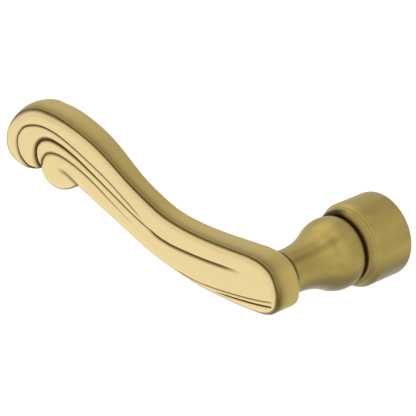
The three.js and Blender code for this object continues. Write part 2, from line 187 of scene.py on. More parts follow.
# The shoulder is where the edge faces this way, as (x, z), and lies this far to the left.
SHOULDER_FACES = (-0.72, 0.69)
SHOULDER_FROM = (60, 100)
FRONT_ROUND = 1.2  # depth of the rounding from the face to the side
BACK_ROUND = 1.5
BACK_TUCK = 1.3  # the back's rounding goes in at most this many times the lap
# The rim is a painted dark reflection and shade: darker colour along the rounding from face to
# side, fading over the side.
RIM_AT = math.radians(42)  # where on that rounding the dark rim is darkest
RIM_SPREAD = math.radians(24)
WALL_RIM = 0.6  # how much of it is left on the side
UNDER_RIM = 0.9  # how dark the underside's rim is, and over which angles it comes in
UNDER_RIM_OVER = (-0.2, 0.4)
RIDGE_RIM = 0.6  # and how dark it is on the ridge itself
RIM_FADE = 3.5  # how fast it dies out over the side
SHOULDER = 0.12  # the face falls this much towards the ridge
SHOULDER_WIDTH = 2.0

# thickness of the grip along x, as in the CAD solid: scroll, slim middle, hub
THICK_AT = (-90, -53, 4)
THICKNESS = (10.4, 7.7, 10.4)


class Groove:
    """A carved line. Points run from the scroll to the hub, so the scroll's inner side is on
    the right. The face sinks to depth over the width on the left, and climbs again over the
    width on the right; stain is how dark the patina lies in it. fade gives the shares of its
    length over which it comes in and dies out."""

    def __init__(self, points, depth, left, right, stain, fade=(0.02, 0.2)):
        self.path = fair_curve(points, 0.6)
        self.depth, self.left, self.right = depth, left, right
        self.stain, self.fade = stain, fade


GROOVES = [
    Groove(
        [(-104.6, 10.3), (-108.1, 10.2), (-112.4, 12.9), (-113.7, 18.0), (-110.6, 22.9),
         (-104.6, 25.5), (-99.1, 26.1), (-94.6, 25.7), (-86.1, 23.4), (-77.1, 19.9),
         (-68.1, 16.0), (-61, 12.2), (-55, 8.9), (-49.5, 6.0)],
        (0.7, 0.28), (1.8, 0.4), (0.5, 0.35), (0.9, 0.4), fade=(0.01, 0.12),
    ),
    Groove(
        [(-101.6, 10.9), (-103.9, 13.8), (-103.7, 18.2), (-100.5, 21.4), (-97.1, 22.3),
         (-92.6, 22.0), (-84.6, 19.9), (-75.6, 16.2), (-66.1, 11.9), (-55.1, 7.0),
         (-48.6, 4.6), (-43.8, 3.4)],
        (0.9, 0.3), (3.0, 0.35), (1.0, 0.35), (1.15, 0.6), fade=(0.01, 0.1),
    ),
    Groove(
        [(-101.5, 11.9), (-101.3, 13.5), (-100.3, 15.4), (-98.8, 16.9), (-96.7, 17.8),
         (-93.4, 18.2), (-86.1, 17.1), (-77.4, 14.1), (-69.1, 10.2), (-60.1, 5.9), (-53, 2.9),
         (-46, 0.8)],
        (0.45, 0.15), (1.5, 0.5), (0.9, 0.35), (0.7, 0.4), fade=(0.01, 0.5),
    ),
    Groove(
        [(-50, 5.6), (-43.8, 3.1), (-39.1, 2.3), (-32.1, 1.9), (-25.1, 1.8), (-14.1, 2.1),
         (-3.6, 2.6)],
        (0.45, 0.3), (0.4, 0.4), (1.1, 1.3), (0.75, 0.65), fade=(0.1, 0.3),
    ),
    Groove(
        [(-38, -5.6), (-33, -6.4), (-28, -6.9), (-21, -6.9), (-13, -6.4), (-5, -5.6),
         (2, -4.6), (7.4, -3.5)],
        (0.15, 0.3), (0.3, 0.3), (0.3, 0.3), (0.3, 0.5), fade=(0.1, 0.03),
    ),
    Groove(
        [(-22, -7.9), (-15, -7.7), (-8, -7.2), (-1, -6.5), (6.9, -5.3)],
        (0.15, 0.45), (0.35, 0.45), (0.3, 0.4), (0.3, 0.95), fade=(0.35, 0.03),
    ),
    Groove(
        [(-93.6, 13.8), (-91, 13.4), (-88.6, 12.7), (-86.3, 11.7), (-84.4, 10.8), (-83.3, 10.2)],
        (0.5, 0.5), (0.45, 0.45), (1.7, 1.0), (0.15, 0.3), fade=(0.35, 0.001),
    ),
]


def beside(path, points):
    """Signed distance of points from a path, positive on its right, and how far along it each
    nearest place lies, as a share of its length."""
    nearest = np.full(len(points), np.inf)
    signed = np.zeros(len(points))
    along = np.zeros(len(points))
    spans = len(path) - 1
    for k in range(spans):
        step = path[k + 1] - path[k]
        away = points - path[k]
        t = np.clip(away @ step / (step @ step), 0, 1)
        distance = np.linalg.norm(away - t[:, None] * step, axis=1)
        closer = distance < nearest
        side = step[1] * away[:, 0] - step[0] * away[:, 1]
        nearest[closer] = distance[closer]
        signed[closer] = np.copysign(distance, side)[closer]
        along[closer] = ((k + t) / spans)[closer]
    return signed, along


# How the groove's sizes change along it, and how steeply its left side and the patina on it fall.
EASE_POWER = 2.5
FALL_POWER = 1.5
SMEAR_POWER = 2.3


def carving(points):
    """Depth carved into the face and patina left in it, at (x, z) points. With u the share of
    a groove's length, its sizes go from the first to the last by 1 - (1 - u) to a power. The
    depth is greatest on the line and dies out over the left and the right width. Grooves
    don't add up: the deepest and the darkest one counts."""
    depth = np.zeros(len(points))
    stain = np.zeros(len(points))
    for groove in GROOVES:
        signed, u = beside(groove.path, points)
        come_in, die_out = groove.fade
        strength = smoothstep(u, 0, come_in) * smoothstep(1 - u, 0, die_out)
        ease = 1 - (1 - u) ** EASE_POWER
        sizes = (groove.depth, groove.left, groove.right, groove.stain)
        sink, left, right, dark = (first + (last - first) * ease for first, last in sizes)
        falls = 1 - smoothstep(-signed, 0, left)
        climbs = 1 - smoothstep(signed, 0, right)
        profile = np.where(signed < 0, falls**FALL_POWER, climbs)
        patina_fall_and_painted_streak = np.where(signed < 0, falls**SMEAR_POWER, climbs)
        depth = np.maximum(depth, sink * strength * profile)
        stain = np.maximum(stain, dark * strength * patina_fall_and_painted_streak)
    return depth, stain


def thickness(x):
    """Grip thickness at x, easing between the scroll, the slim middle and the hub."""
    tip, middle, hub = THICK_AT
    out = THICKNESS[0] + (THICKNESS[1] - THICKNESS[0]) * smoothstep(x, tip, middle)
    return out + (THICKNESS[2] - THICKNESS[1]) * smoothstep(x, middle, hub)


def ridge_loop():
    """The ridge as one closed loop, with its outward directions, how far the side laps outside
    it, how far it leans out at the back and how far it swells in between. The lap shrinks to
    nothing at the cusp and at the notch."""
    runs = [fair_curve(RIDGE, GRIP_STEP, CROWDING), fair_curve(CURL, CURL_STEP)]
    outward, corner = [], []
    for run in runs:
        tangent = np.gradient(run, axis=0)
        tangent /= np.linalg.norm(tangent, axis=1)[:, None]
        outward.append(np.column_stack([tangent[:, 1], -tangent[:, 0]])[:-1])
        place_on = np.r_[0, np.cumsum(np.linalg.norm(np.diff(run, axis=0), axis=1))]
        corner.append(np.minimum(place_on, place_on[-1] - place_on)[:-1])
    ridge = np.vstack([run[:-1] for run in runs])
    outward = np.vstack(outward)
    reach = -ridge[:, 0]
    upward = smoothstep(outward[:, 1], -0.6, 0.2)
    hubward = smoothstep(reach, *HUB_FROM)
    top = TOP_LAP + (SLOPE_LAP - TOP_LAP) * smoothstep(reach, *SLOPE_FROM)
    top += (SCROLL_LAP - SLOPE_LAP) * smoothstep(reach, *SCROLL_FROM)
    lap = UNDER_LAP + (top - UNDER_LAP) * np.maximum(upward, hubward * HUB_SHARE)
    lap = lap + (TIP_LAP - lap) * smoothstep(reach, *TIP_FROM)
    shoulder = smoothstep(outward @ np.array(SHOULDER_FACES), 0.6, 0.98)
    shoulder *= smoothstep(reach, *SHOULDER_FROM)
    lap = np.minimum(lap, np.concatenate(corner) * CORNER_TAPER)
    return ridge, outward, lap, TIP_FLARE * shoulder, TIP_CROWN * shoulder


def meeting_points(ridge, spine):
    """For each ridge point the number of the spine point nearest to it. The numbers may only
    fall along the top and only rise along the underside, so that no cross-lines cross."""
    gap = np.linalg.norm(ridge[:, None] - spine[None], axis=2)
    nearest = gap.argmin(axis=1)
    hub_end = int(np.argmax(ridge[:, 0]))
    tip_end = int(np.argmin(ridge[:, 0]))
    rolled = np.roll(nearest, -tip_end)
    turning = (hub_end - tip_end) % len(ridge)
    rising = np.maximum.accumulate(rolled[:turning])
    falling = np.minimum.accumulate(rolled[turning:])
    return np.roll(np.concatenate([rising, falling]), tip_end)


def carved_grip():
    """The grip: cross-lines run from every point of its edge to the spine, on the face and on
    the back. Between them the edge turns in a quarter ellipse, runs straight back as the
    side, and turns again. The face then sinks by the carving. Every point keeps its stain,
    the patina in the carving, and its rim, a painted dark reflection and shade along the
    rounding between face and side."""
    face_y = grip_low[1]
    ridge, outward, lap, flare, crown = ridge_loop()
    spine = fair_curve(SPINE, SPINE_STEP)
    meeting = meeting_points(ridge, spine)
    count = len(ridge)
    # Each row keeps its stain, the carving's patina, and its rim, a painted dark reflection and
    # shade.
    rows, stains, painted_edge_reflections = [], [], []
    upper = smoothstep(outward[:, 1], -0.15, 0.5)

    def add_row(flat, y, stain, rim=0, under_edge_reflection=0):
        rows.append(np.column_stack([flat[:, 0], np.broadcast_to(y, count), flat[:, 1]]))
        stains.append(np.broadcast_to(stain, count))
        painted_edge_reflections.append(rim * upper + under_edge_reflection * (1 - upper))

    def face_row(t):
        flat = ridge + (spine[meeting] - ridge) * t
        inset = np.linalg.norm(flat - ridge, axis=1)
        depth, stain = carving(flat)
        fall = SHOULDER * (1 - smoothstep(inset, 0, SHOULDER_WIDTH)) ** 2
        return flat, face_y + fall + depth, stain

    for t in np.linspace(1, 0, FACE_ROWS + 1)[1:]:
        add_row(*face_row(t), 0, RIDGE_RIM * (t == 0))
    edge_y, edge_stain = rows[-1][:, 1], stains[-1]
    # The rounding from face to side, where the painted dark reflection and shade lies darkest.
    for angle in np.linspace(0, math.pi / 2, EDGE_ROWS + 1)[1:]:
        flat = ridge + outward * (lap * math.sin(angle))[:, None]
        turn = 1 - math.cos(angle)
        y = edge_y + (face_y + FRONT_ROUND - edge_y) * turn
        rim = math.exp(-((angle - RIM_AT) / RIM_SPREAD) ** 2)
        rim = max(rim, WALL_RIM * (angle > RIM_AT))
        under_edge_reflection = UNDER_RIM * smoothstep(angle, *UNDER_RIM_OVER)
        add_row(flat, np.maximum(y, edge_y), edge_stain * (1 - turn), rim, under_edge_reflection)
    side = ridge + outward * lap[:, None]
    front_y = rows[-1][:, 1]
    back_y = face_y + thickness(side[:, 0])
    for t in np.linspace(0, 1, WALL_ROWS + 1)[1:] ** WALL_CROWDING:
        leaning = side + outward * (flare * t + crown * math.sin(math.pi * t))[:, None]
        y = front_y + (back_y - BACK_ROUND - front_y) * t
        rim = (1 - t) ** RIM_FADE
        add_row(leaning, y, 0, WALL_RIM * rim, UNDER_RIM * rim)
    for angle in np.linspace(0, math.pi / 2, EDGE_ROWS + 1)[1:]:
        inset = np.minimum(BACK_ROUND, lap * BACK_TUCK) * (1 - math.cos(angle))
        flat = leaning - outward * inset[:, None]
        add_row(flat, back_y - BACK_ROUND * (1 - math.sin(angle)), 0)
    back_edge = np.column_stack([rows[-1][:, 0], rows[-1][:, 2]])
    for t in np.linspace(0, 1, BACK_ROWS + 1)[1:-1]:
        flat = back_edge + (spine[meeting] - back_edge) * t
        add_row(flat, face_y + thickness(flat[:, 0]), 0)

    depth, spine_stain = carving(spine)
    front_spine = np.column_stack([spine[:, 0], face_y + depth, spine[:, 1]])
    back_spine = np.column_stack([spine[:, 0], face_y + thickness(spine[:, 0]), spine[:, 1]])
    points = np.vstack([*rows, front_spine, back_spine])
    stain = np.concatenate([*stains, spine_stain, np.zeros(len(spine))])

    body = grid_faces(len(rows), count)
    first = np.arange(count)
    last = first + (len(rows) - 1) * count
    front_hub = len(rows) * count + meeting
    back_hub = front_hub + len(spine)
    caps = [
        *fan(first, np.roll(first, -1), front_hub, np.roll(front_hub, -1), True),
        *fan(last, np.roll(last, -1), back_hub, np.roll(back_hub, -1), False),
    ]
    grip = place("carved_grip", points, body.tolist() + caps, GRIP_CREASE)
    put_attribute(grip, "stain", stain)
    # The rim attribute holds the painted dark reflection and shade along the edge.
    put_attribute(grip, "rim", np.concatenate([*painted_edge_reflections, np.zeros(2 * len(spine))]))
    return grip


def fan(edge, edge_next, hub, hub_next, flip):
    """Faces from an edge to the spine: a quad where two neighbours meet different spine
    points, and a triangle where they meet the same one."""
    same = hub == hub_next
    triangles = np.column_stack([edge, edge_next, hub])[same]
    quads = np.column_stack([edge, edge_next, hub_next, hub])[~same]
    if flip:
        return triangles.tolist() + quads.tolist()
    return triangles[:, ::-1].tolist() + quads[:, ::-1].tolist()


def put_attribute(piece, name, values):
    """Stores one number for each point of the mesh, for its material to read."""
    layer = piece.data.attributes.new(name, "FLOAT", "POINT")
    layer.data.foreach_set("value", np.asarray(values, np.float32))


# ---- turned pieces ---------------------------------------------------------------------------

ROUND_STEPS = 224
DRILL_STEPS = 48
TURNED_CREASE = 38


def turned(name, profile):
    """A solid of revolution about the spindle axis: every (radius, out) point of the profile,
    a closed outline, is carried round a circle, as radius times sine and cosine of the angle."""
    profile = np.asarray(profile, float)
    angle = np.arange(ROUND_STEPS) / ROUND_STEPS * TURN
    radius = profile[:, :1]
    x = radius * np.sin(angle)
    z = radius * np.cos(angle)
    y = np.repeat(-profile[:, 1:], ROUND_STEPS, axis=1)
    points = np.stack([x, y, z], axis=-1).reshape(-1, 3)
    faces = grid_faces(len(profile) + 1, ROUND_STEPS) % len(points)
    return outward_faces(place(name, points, faces.tolist(), TURNED_CREASE))


def rounded(start, corner, end, count=5):
    """Points of a soft corner: a parabola from start to end that leans on the corner."""
    u = np.linspace(0, 1, count)[:, None]
    start, corner, end = (np.asarray(p, float) for p in (start, corner, end))
    return ((1 - u) ** 2 * start + 2 * u * (1 - u) * corner + u**2 * end).tolist()


def outward_faces(piece):
    """Turns every face of a closed mesh outwards."""
    mesh = bmesh.new()
    mesh.from_mesh(piece.data)
    bmesh.ops.recalc_face_normals(mesh, faces=mesh.faces)
    mesh.to_mesh(piece.data)
    mesh.free()
    return piece


def applied(piece):
    """Makes what a piece's modifiers give its own mesh."""
    result = bpy.data.meshes.new_from_object(
        piece.evaluated_get(bpy.context.evaluated_depsgraph_get())
    )
    piece.modifiers.clear()
    piece.data = result
    return piece


def drill(piece, radius, top, bottom, out):
    """Cuts an upright hole of that radius below the spindle axis, from one depth to another."""
    angle = np.arange(DRILL_STEPS) / DRILL_STEPS * TURN
    rim = np.column_stack([radius * np.cos(angle), radius * np.sin(angle) - out])
    points = np.vstack([
        np.column_stack([rim, np.full(DRILL_STEPS, -top)]),
        np.column_stack([rim, np.full(DRILL_STEPS, -bottom)]),
    ])
    ends = np.arange(2 * DRILL_STEPS).reshape(2, DRILL_STEPS)
    faces = grid_faces(2, DRILL_STEPS).tolist() + [ends[0].tolist(), ends[1, ::-1].tolist()]
    drill_bit = outward_faces(place("drill_bit", points, faces))
    cut = piece.modifiers.new("hole", "BOOLEAN")
    cut.operation = "DIFFERENCE"
    cut.solver = "EXACT"
    cut.object = drill_bit
    applied(piece)
    bpy.data.objects.remove(drill_bit)
    return smooth(piece, 35)


# Sizes shared with the pieces inside.
DRUM_EDGE = 13.6
CROWN_OUT = -shell_low[1]
DRUM_RADIUS = shell_high[0]
RECESS_RADIUS = 11.85
CAVITY_RADIUS = 11.15
BOSS_RADIUS = 10.2
DISH_GAP = 0.25
FRONT_BORE = 8.98
RIM_OUT = 18.9
ROOT_OUT = -neck_low[1]
BULB_RADIUS = 11.95
HUB_BORE = 8.1


def collar():
    """The collar: a round drum with a cushion-shaped nose. Outside runs from the rear face
    over the drum, a crisp edge, a bright cone, a fine step and the cushion up to the crown;
    inside it has the dish for the glide ring, the bush's bore, the spring's chamber, the
    ledge for the back plate and the groove of its retaining ring. Below is the hole of the
    collar screw."""
    dish = BOSS_RADIUS + DISH_GAP
    profile = [
        (RECESS_RADIUS + 0.25, 0),
        *rounded((DRUM_RADIUS - 0.8, 0), (DRUM_RADIUS, 0), (DRUM_RADIUS, 0.8), 6),
        (DRUM_RADIUS, 4), (DRUM_RADIUS, 8),
        *rounded((DRUM_RADIUS, DRUM_EDGE - 0.4), (DRUM_RADIUS, DRUM_EDGE - 0.05),
                 (DRUM_RADIUS - 0.2, DRUM_EDGE + 0.1), 5),
        *rounded((13.2, 14.75), (13.12, 14.95), (12.98, 15.0), 4),
        *rounded((12.86, 15.05), (12.8, 15.1), (12.78, 15.25), 3),
        *rounded((12.62, 16.4), (12.4, CROWN_OUT), (11.3, CROWN_OUT), 9),
        *rounded((dish + 0.5, CROWN_OUT), (dish, CROWN_OUT), (dish, CROWN_OUT - 0.5), 4),
        (dish, 14.6),
        (FRONT_BORE, 14.6),
        (FRONT_BORE, 13.0),
        (CAVITY_RADIUS, 13.0),
        (CAVITY_RADIUS, 6.8),
        (RECESS_RADIUS, 6.8),
        (RECESS_RADIUS, 5.05),
        (RECESS_RADIUS + 0.8, 5.05),
        (RECESS_RADIUS + 0.8, 4.0),
        (RECESS_RADIUS, 4.0),
        (RECESS_RADIUS, 0.25),
    ]
    piece = turned("turned_collar", profile)
    return drill(piece, 1.6, RECESS_RADIUS - 1, DRUM_RADIUS + 1, 2)


def neck():
    """The neck: a sharp rim, then bulb, waist and flared root on one smooth curve; inside, the
    bores for the drive hub and the joining stud. Below is the hole of the set screw."""
    outside = fair_curve(
        [(11.3, RIM_OUT), (11.75, RIM_OUT + 1.6), (BULB_RADIUS, RIM_OUT + 3.7),
         (11.75, RIM_OUT + 5.6), (11.1, RIM_OUT + 7.9), (9.5, RIM_OUT + 11.1),
         (8.3, RIM_OUT + 14.5), (7.55, RIM_OUT + 18.2), (7.3, RIM_OUT + 22.2),
         (7.42, RIM_OUT + 24.4), (7.7, ROOT_OUT - 0.7), (7.95, ROOT_OUT)],
        0.5,
    )
    profile = [
        (HUB_BORE, 16.1),
        *rounded((BOSS_RADIUS - 0.3, 16.1), (BOSS_RADIUS, 16.1), (BOSS_RADIUS, 16.4), 4),
        (BOSS_RADIUS, RIM_OUT - 0.1),
        *rounded((10.9, RIM_OUT - 0.15), (11.25, RIM_OUT - 0.15), (11.3, RIM_OUT), 3),
        *outside[1:-1].tolist(),
        *rounded((7.9, ROOT_OUT - 0.2), (7.9, ROOT_OUT), (7.7, ROOT_OUT), 4),
        (4.1, ROOT_OUT),
        (4.1, 32.1),
        (HUB_BORE, 32.1),
    ]
    piece = turned("turned_neck", profile)
    return drill(piece, 2.6, HUB_BORE - 1, BULB_RADIUS + 1, 23.3)


SAME_POINT = 0.002
FLAT_WITHIN = 0.5
REFINED_CREASE = 30
BEVEL_FROM = 40


def refined(node, name, bevel):
    """A copy of a CAD node with its doubles merged, its flat faces made whole again and every
    crease broken by a small bevel."""
    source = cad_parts[node]
    mesh = bmesh.new()
    mesh.from_mesh(source.data)
    bmesh.ops.remove_doubles(mesh, verts=mesh.verts, dist=SAME_POINT * MM)
    bmesh.ops.dissolve_limit(
        mesh, angle_limit=math.radians(FLAT_WITHIN), verts=mesh.verts, edges=mesh.edges
    )
    data = bpy.data.meshes.new(name)
    mesh.to_mesh(data)
    mesh.free()
    piece = bpy.data.objects.new(name, data)
    bpy.context.scene.collection.objects.link(piece)
    smooth(piece, REFINED_CREASE)
    edge = piece.modifiers.new("broken_edges", "BEVEL")
    edge.width = bevel * MM
    edge.segments = 2
    edge.limit_method = "ANGLE"
    edge.angle_limit = math.radians(BEVEL_FROM)
    edge.use_clamp_overlap = True
    edge.harden_normals = True
    return piece


# ---- finishes --------------------------------------------------------------------------------


class Value:
    """A number that comes out of a node. + - * on it and its size add Math nodes."""

    def __init__(self, nodes, socket):
        self.nodes, self.socket = nodes, socket

    def _math(self, operation, *numbers):
        return self.nodes.value(
            "ShaderNodeMath", {"operation": operation}, dict(enumerate(numbers))
        )

    def __add__(self, other):
        return self._math("ADD", self, other)

    def __radd__(self, other):
        return self._math("ADD", other, self)

    def __sub__(self, other):
        return self._math("SUBTRACT", self, other)

    def __rsub__(self, other):
        return self._math("SUBTRACT", other, self)

    def __mul__(self, other):
        return self._math("MULTIPLY", self, other)

    def __rmul__(self, other):
        return self._math("MULTIPLY", other, self)

    def __abs__(self):
        return self._math("ABSOLUTE", self)


class Nodes:
    """A node tree under construction."""

    def __init__(self, tree):
        self.tree = tree

    def node(self, kind, settings=None, inputs=None):
        """Adds a node, sets its settings, then its sockets from values or links."""
        made = self.tree.nodes.new(kind)
        for key, value in (settings or {}).items():
            setattr(made, key, value)
        for key, value in (inputs or {}).items():
            if isinstance(value, Value):
                self.tree.links.new(value.socket, made.inputs[key])
            elif isinstance(value, bpy.types.NodeSocket):
                self.tree.links.new(value, made.inputs[key])
            else:
                made.inputs[key].default_value = value
        return made

    def value(self, kind, settings=None, inputs=None, output=0):
        """The same, but gives one output as a Value."""
        return Value(self, self.node(kind, settings, inputs).outputs[output])

    def ramp(self, value, start, end):
        """0 where value is at start, 1 at end, held beyond."""
        return self.value(
            "ShaderNodeMapRange", {"interpolation_type": "SMOOTHSTEP"},
            {"Value": value, "From Min": start, "From Max": end},
        )

    def part(self, vector, axis):
        """One of the three numbers of a vector."""
        return self.value("ShaderNodeSeparateXYZ", None, {"Vector": vector}, "XYZ".index(axis))


class Finish(Nodes):
    """A material under construction, with its Principled shader and its Object coordinates."""

    def __init__(self, name, **constants):
        self.material = bpy.data.materials.new(name)
        self.material.use_nodes = True
        super().__init__(self.material.node_tree)
        self.shader = self.tree.nodes["Principled BSDF"]
        for socket, value in constants.items():
            self.shader.inputs[socket.replace("_", " ")].default_value = value

    def spot(self, scale=(1, 1, 1)):
        """Object coordinates in millimetres, stretched by scale."""
        place_on_piece = self.node("ShaderNodeTexCoord").outputs["Object"]
        stretch = tuple(s / MM for s in scale)
        return self.node(
            "ShaderNodeMapping", None, {"Vector": place_on_piece, "Scale": stretch}
        ).outputs[0]

    def noise(self, scale, detail, stretch=(1, 1, 1)):
        """Noise with that many lumps to the millimetre, stretched by stretch."""
        return self.value(
            "ShaderNodeTexNoise", None,
            {"Vector": self.spot(stretch), "Scale": scale, "Detail": detail, "Roughness": 0.55},
        )

    def blend(self, share, first, second):
        """A colour between two, by share."""
        made = self.node(
            "ShaderNodeMix", {"data_type": "RGBA"},
            {"Factor": share, 6: first, 7: second},
        )
        return made.outputs[2]

    def along(self, axis):
        """The place along an axis of the piece, in millimetres."""
        return self.part(self.spot(), axis)

    def facing(self, axis):
        """How far the surface faces along an axis of the piece, from -1 to 1."""
        return self.part(self.node("ShaderNodeTexCoord").outputs["Normal"], axis)

    def attribute(self, name):
        """A number stored for each point of the mesh."""
        return self.value("ShaderNodeAttribute", {"attribute_name": name}, output=2)

    def apply_looks(self, color, roughness, height, relief):
        """Links the varying looks, painted shade and reflection included where the colour carries
        them; relief is the depth of the height's lumps in millimetres.
        """
        self.tree.links.new(color, self.shader.inputs["Base Color"])
        self.tree.links.new(roughness.socket, self.shader.inputs["Roughness"])
        bump = self.node(
            "ShaderNodeBump", None,
            {"Height": height, "Distance": relief * MM, "Strength": 1.0},
        )
        self.tree.links.new(bump.outputs[0], self.shader.inputs["Normal"])
        return self.material


PALE_BRASS = (0.80, 0.65, 0.33, 1)
# Painted shade: a darker copy of the face's brass, used for the sides.
SHADED_SIDE_BRASS = (0.70, 0.54, 0.17, 1)
OLIVE_BRASS = (0.58, 0.45, 0.14, 1)
BROWN_BRASS = (0.44, 0.335, 0.10, 1)
# Painted dark reflection and shade along the grip's edge rounding.
PAINTED_EDGE_REFLECTION = (0.10, 0.06, 0.004, 1)
# Painted shade: the darker tone laid on undersides and on the neck's painted dark reflection
# streak.
PAINTED_SHADE_TONE = (0.21, 0.165, 0.055, 1)
# Patina in the grip's carving; patina and painted shade in the collar gap, on the nose and at the
# neck's root.
PATINA_AND_SHADE = (0.075, 0.05, 0.025, 1)
# Warm stain in the grip's carving; warm painted shade on the collar's nose.
WARM_STAIN_AND_SHADE = (0.26, 0.16, 0.05, 1)


def antique_brass():
    """Grip: pale brushed brass on the face, with painted shade deepening the sides and the
    undersides, a painted dark reflection and shade along the edge, and brown patina in the carving.
    """
    finish = Finish("antique_brass", Metallic=1.0)
    fine = finish.noise(3.2, 2, (0.25, 1.0, 1.0))
    broad = finish.noise(1.0, 3, (0.05, 0.12, 0.12))
    # Painted shade: faces turned away from the front are darker than the pale face.
    side = finish.ramp(finish.facing("Y"), -0.93, -0.45)
    # Painted shade: surfaces facing down are darkened towards the shade tone.
    under = finish.ramp(finish.facing("Z"), -0.1, -0.8)
    stain = finish.attribute("stain")
    patina_and_painted_streak = stain * (0.8 + 0.4 * fine)
    grain = finish.noise(5.0, 2, (0.5, 1.0, 1.0))
    share = side * (0.7 + 0.3 * broad + 0.9 * (grain - 0.5)) + 0.5 * (fine - 0.5)
    metal = finish.blend(share, PALE_BRASS, SHADED_SIDE_BRASS)
    # Painted dark reflection and shade along the rounding from face to side.
    edge_reflected = finish.blend(finish.attribute("rim") * (0.8 + 0.3 * fine), metal, PAINTED_EDGE_REFLECTION)
    lower = finish.blend(0.6 * under, edge_reflected, PAINTED_SHADE_TONE)
    warm = finish.blend(finish.ramp(patina_and_painted_streak, 0.02, 0.5), lower, WARM_STAIN_AND_SHADE)
    color = finish.blend(finish.ramp(patina_and_painted_streak, 0.3, 0.95), warm, PATINA_AND_SHADE)
    roughness = 0.31 + 0.06 * broad + 0.04 * fine + 0.22 * stain
    return finish.apply_looks(color, roughness, fine, 0.02)


GAP_OUT = (CROWN_OUT + RIM_OUT) / 2  # middle of the gap between the nose and the bulb
NOSE_DEPTH = 2.9  # the nose's patina and painted shade reach this far back from there
STREAK_SLANT = 0.84  # the neck's painted dark reflection streak lies where x is this many times z


def satin_brass():
    """Neck and collar: brass brushed round and round, with slow streaks of tone along the axis.
    Brown patina where a cloth can't reach, deepened by painted shade, darkens the gap and the
    nose behind it, most on its upper left; painted shade darkens the neck's root and the
    undersides, and a painted dark reflection runs as a streak along the top of the neck."""
    finish = Finish("satin_brass", Metallic=1.0)
    lines = finish.noise(3.0, 3, (0.05, 1.6, 0.05))
    streaks = finish.noise(1.0, 3, (0.17, 0.035, 0.17))
    mottle = finish.noise(0.5, 3)
    out = finish.along("Y") * -1
    across, up = finish.along("X"), finish.along("Z")
    # Painted shade: the upper left of the nose and the gap is darker.
    upper_left = finish.ramp(across, 3.0, -2.5) * finish.ramp(up, 0, 6)
    # Patina and painted shade in the gap between the nose and the bulb.
    gap = (0.55 + 0.4 * upper_left) * finish.ramp(abs(out - GAP_OUT), 0.85, 0.5)
    nose_back = finish.ramp(out, GAP_OUT - NOSE_DEPTH, GAP_OUT - 1.2)
    on_nose = nose_back * finish.ramp(out, GAP_OUT + 0.1, GAP_OUT)
    # Painted shade at the neck's root, where it meets the grip.
    root = finish.ramp(out, ROOT_OUT - 1.3, ROOT_OUT - 0.2)
    # Painted shade: surfaces facing down are darkened towards the shade tone.
    below = finish.ramp(finish.facing("Z"), 0.05, -0.6)
    # Painted dark reflection: a streak along the top of the neck, slanting with x against z.
    beside_painted_streak = abs(across - STREAK_SLANT * up) + 1.2 * (mottle - 0.5)
    patina_fall_and_painted_streak = finish.ramp(beside_painted_streak, 2.6, 0.2) * finish.ramp(out, RIM_OUT + 3, RIM_OUT + 9)

    metal = finish.blend(2.6 * (streaks - 0.42) + 0.5 * (mottle - 0.5), OLIVE_BRASS, BROWN_BRASS)
    brushed = finish.blend(0.5 * finish.ramp(lines, 0.5, 0.75), metal, BROWN_BRASS)
    # Blends the painted dark reflection streak over the top of the neck.
    patina_and_painted_streak = finish.blend(0.45 * patina_fall_and_painted_streak * finish.ramp(up, 0, 2), brushed, PAINTED_SHADE_TONE)
    # Warm painted shade with stain on the nose behind the gap, most on its upper left.
    nosed = finish.blend(on_nose * (0.4 + 0.6 * upper_left), patina_and_painted_streak, WARM_STAIN_AND_SHADE)
    lower = finish.blend(below, nosed, PAINTED_SHADE_TONE)
    # Patina and painted shade: the gap, the neck's root and the nose's upper left go darkest.
    dark = (gap + root + 1.3 * on_nose * upper_left) * (0.5 + 0.5 * mottle)
    color = finish.blend(dark, lower, PATINA_AND_SHADE)
    roughness = 0.27 + 0.12 * streaks + 0.06 * lines + 0.15 * gap
    return finish.apply_looks(color, roughness, lines, 0.014)


SHADE = 0.72  # a smudged steel has this share of its colour


def steel(name, color, roughness):
    """A machined steel, with faint turning lines and smudges."""
    finish = Finish(name, Metallic=1.0)
    lines = finish.noise(2.5, 2, (0.2, 2.0, 0.2))
    smudge = finish.noise(1.0, 4, (0.3, 0.3, 0.3))
    dark = tuple(SHADE * c for c in color) + (1,)
    tone = finish.blend(smudge, dark, (*color, 1))
    return finish.apply_looks(tone, roughness + 0.12 * smudge, lines, 0.006)


def nylon():
    """Off-white bearing plastic with a fine moulded grain."""
    finish = Finish("bearing_nylon", Metallic=0.0, IOR=1.53)
    grain = finish.noise(6.0, 2)
    tone = finish.blend(grain, (0.72, 0.69, 0.6, 1), (0.82, 0.8, 0.72, 1))
    return finish.apply_looks(tone, 0.42 + 0.15 * grain, grain, 0.01)


# ---- pieces ----------------------------------------------------------------------------------

finishes = {
    "antique_brass": antique_brass(),
    "satin_brass": satin_brass(),
    "bright_steel": steel("bright_steel", (0.62, 0.62, 0.61), 0.24),
    "spring_steel": steel("spring_steel", (0.30, 0.30, 0.32), 0.32),
    "black_steel": steel("black_steel", (0.09, 0.09, 0.095), 0.36),
    "nylon": nylon(),
}


def dress(piece, slot, *nodes):
    """Gives a piece its finish and hides the CAD nodes that it stands for."""
    piece.data.materials.clear()
    piece.data.materials.append(finishes[slot])
    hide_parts(*nodes)
    return piece


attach(dress(carved_grip(), "antique_brass", "lever_grip"), "lever")
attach(dress(neck(), "satin_brass", "neck"), "lever")
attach(dress(collar(), "satin_brass", "collar_shell"), "collar")

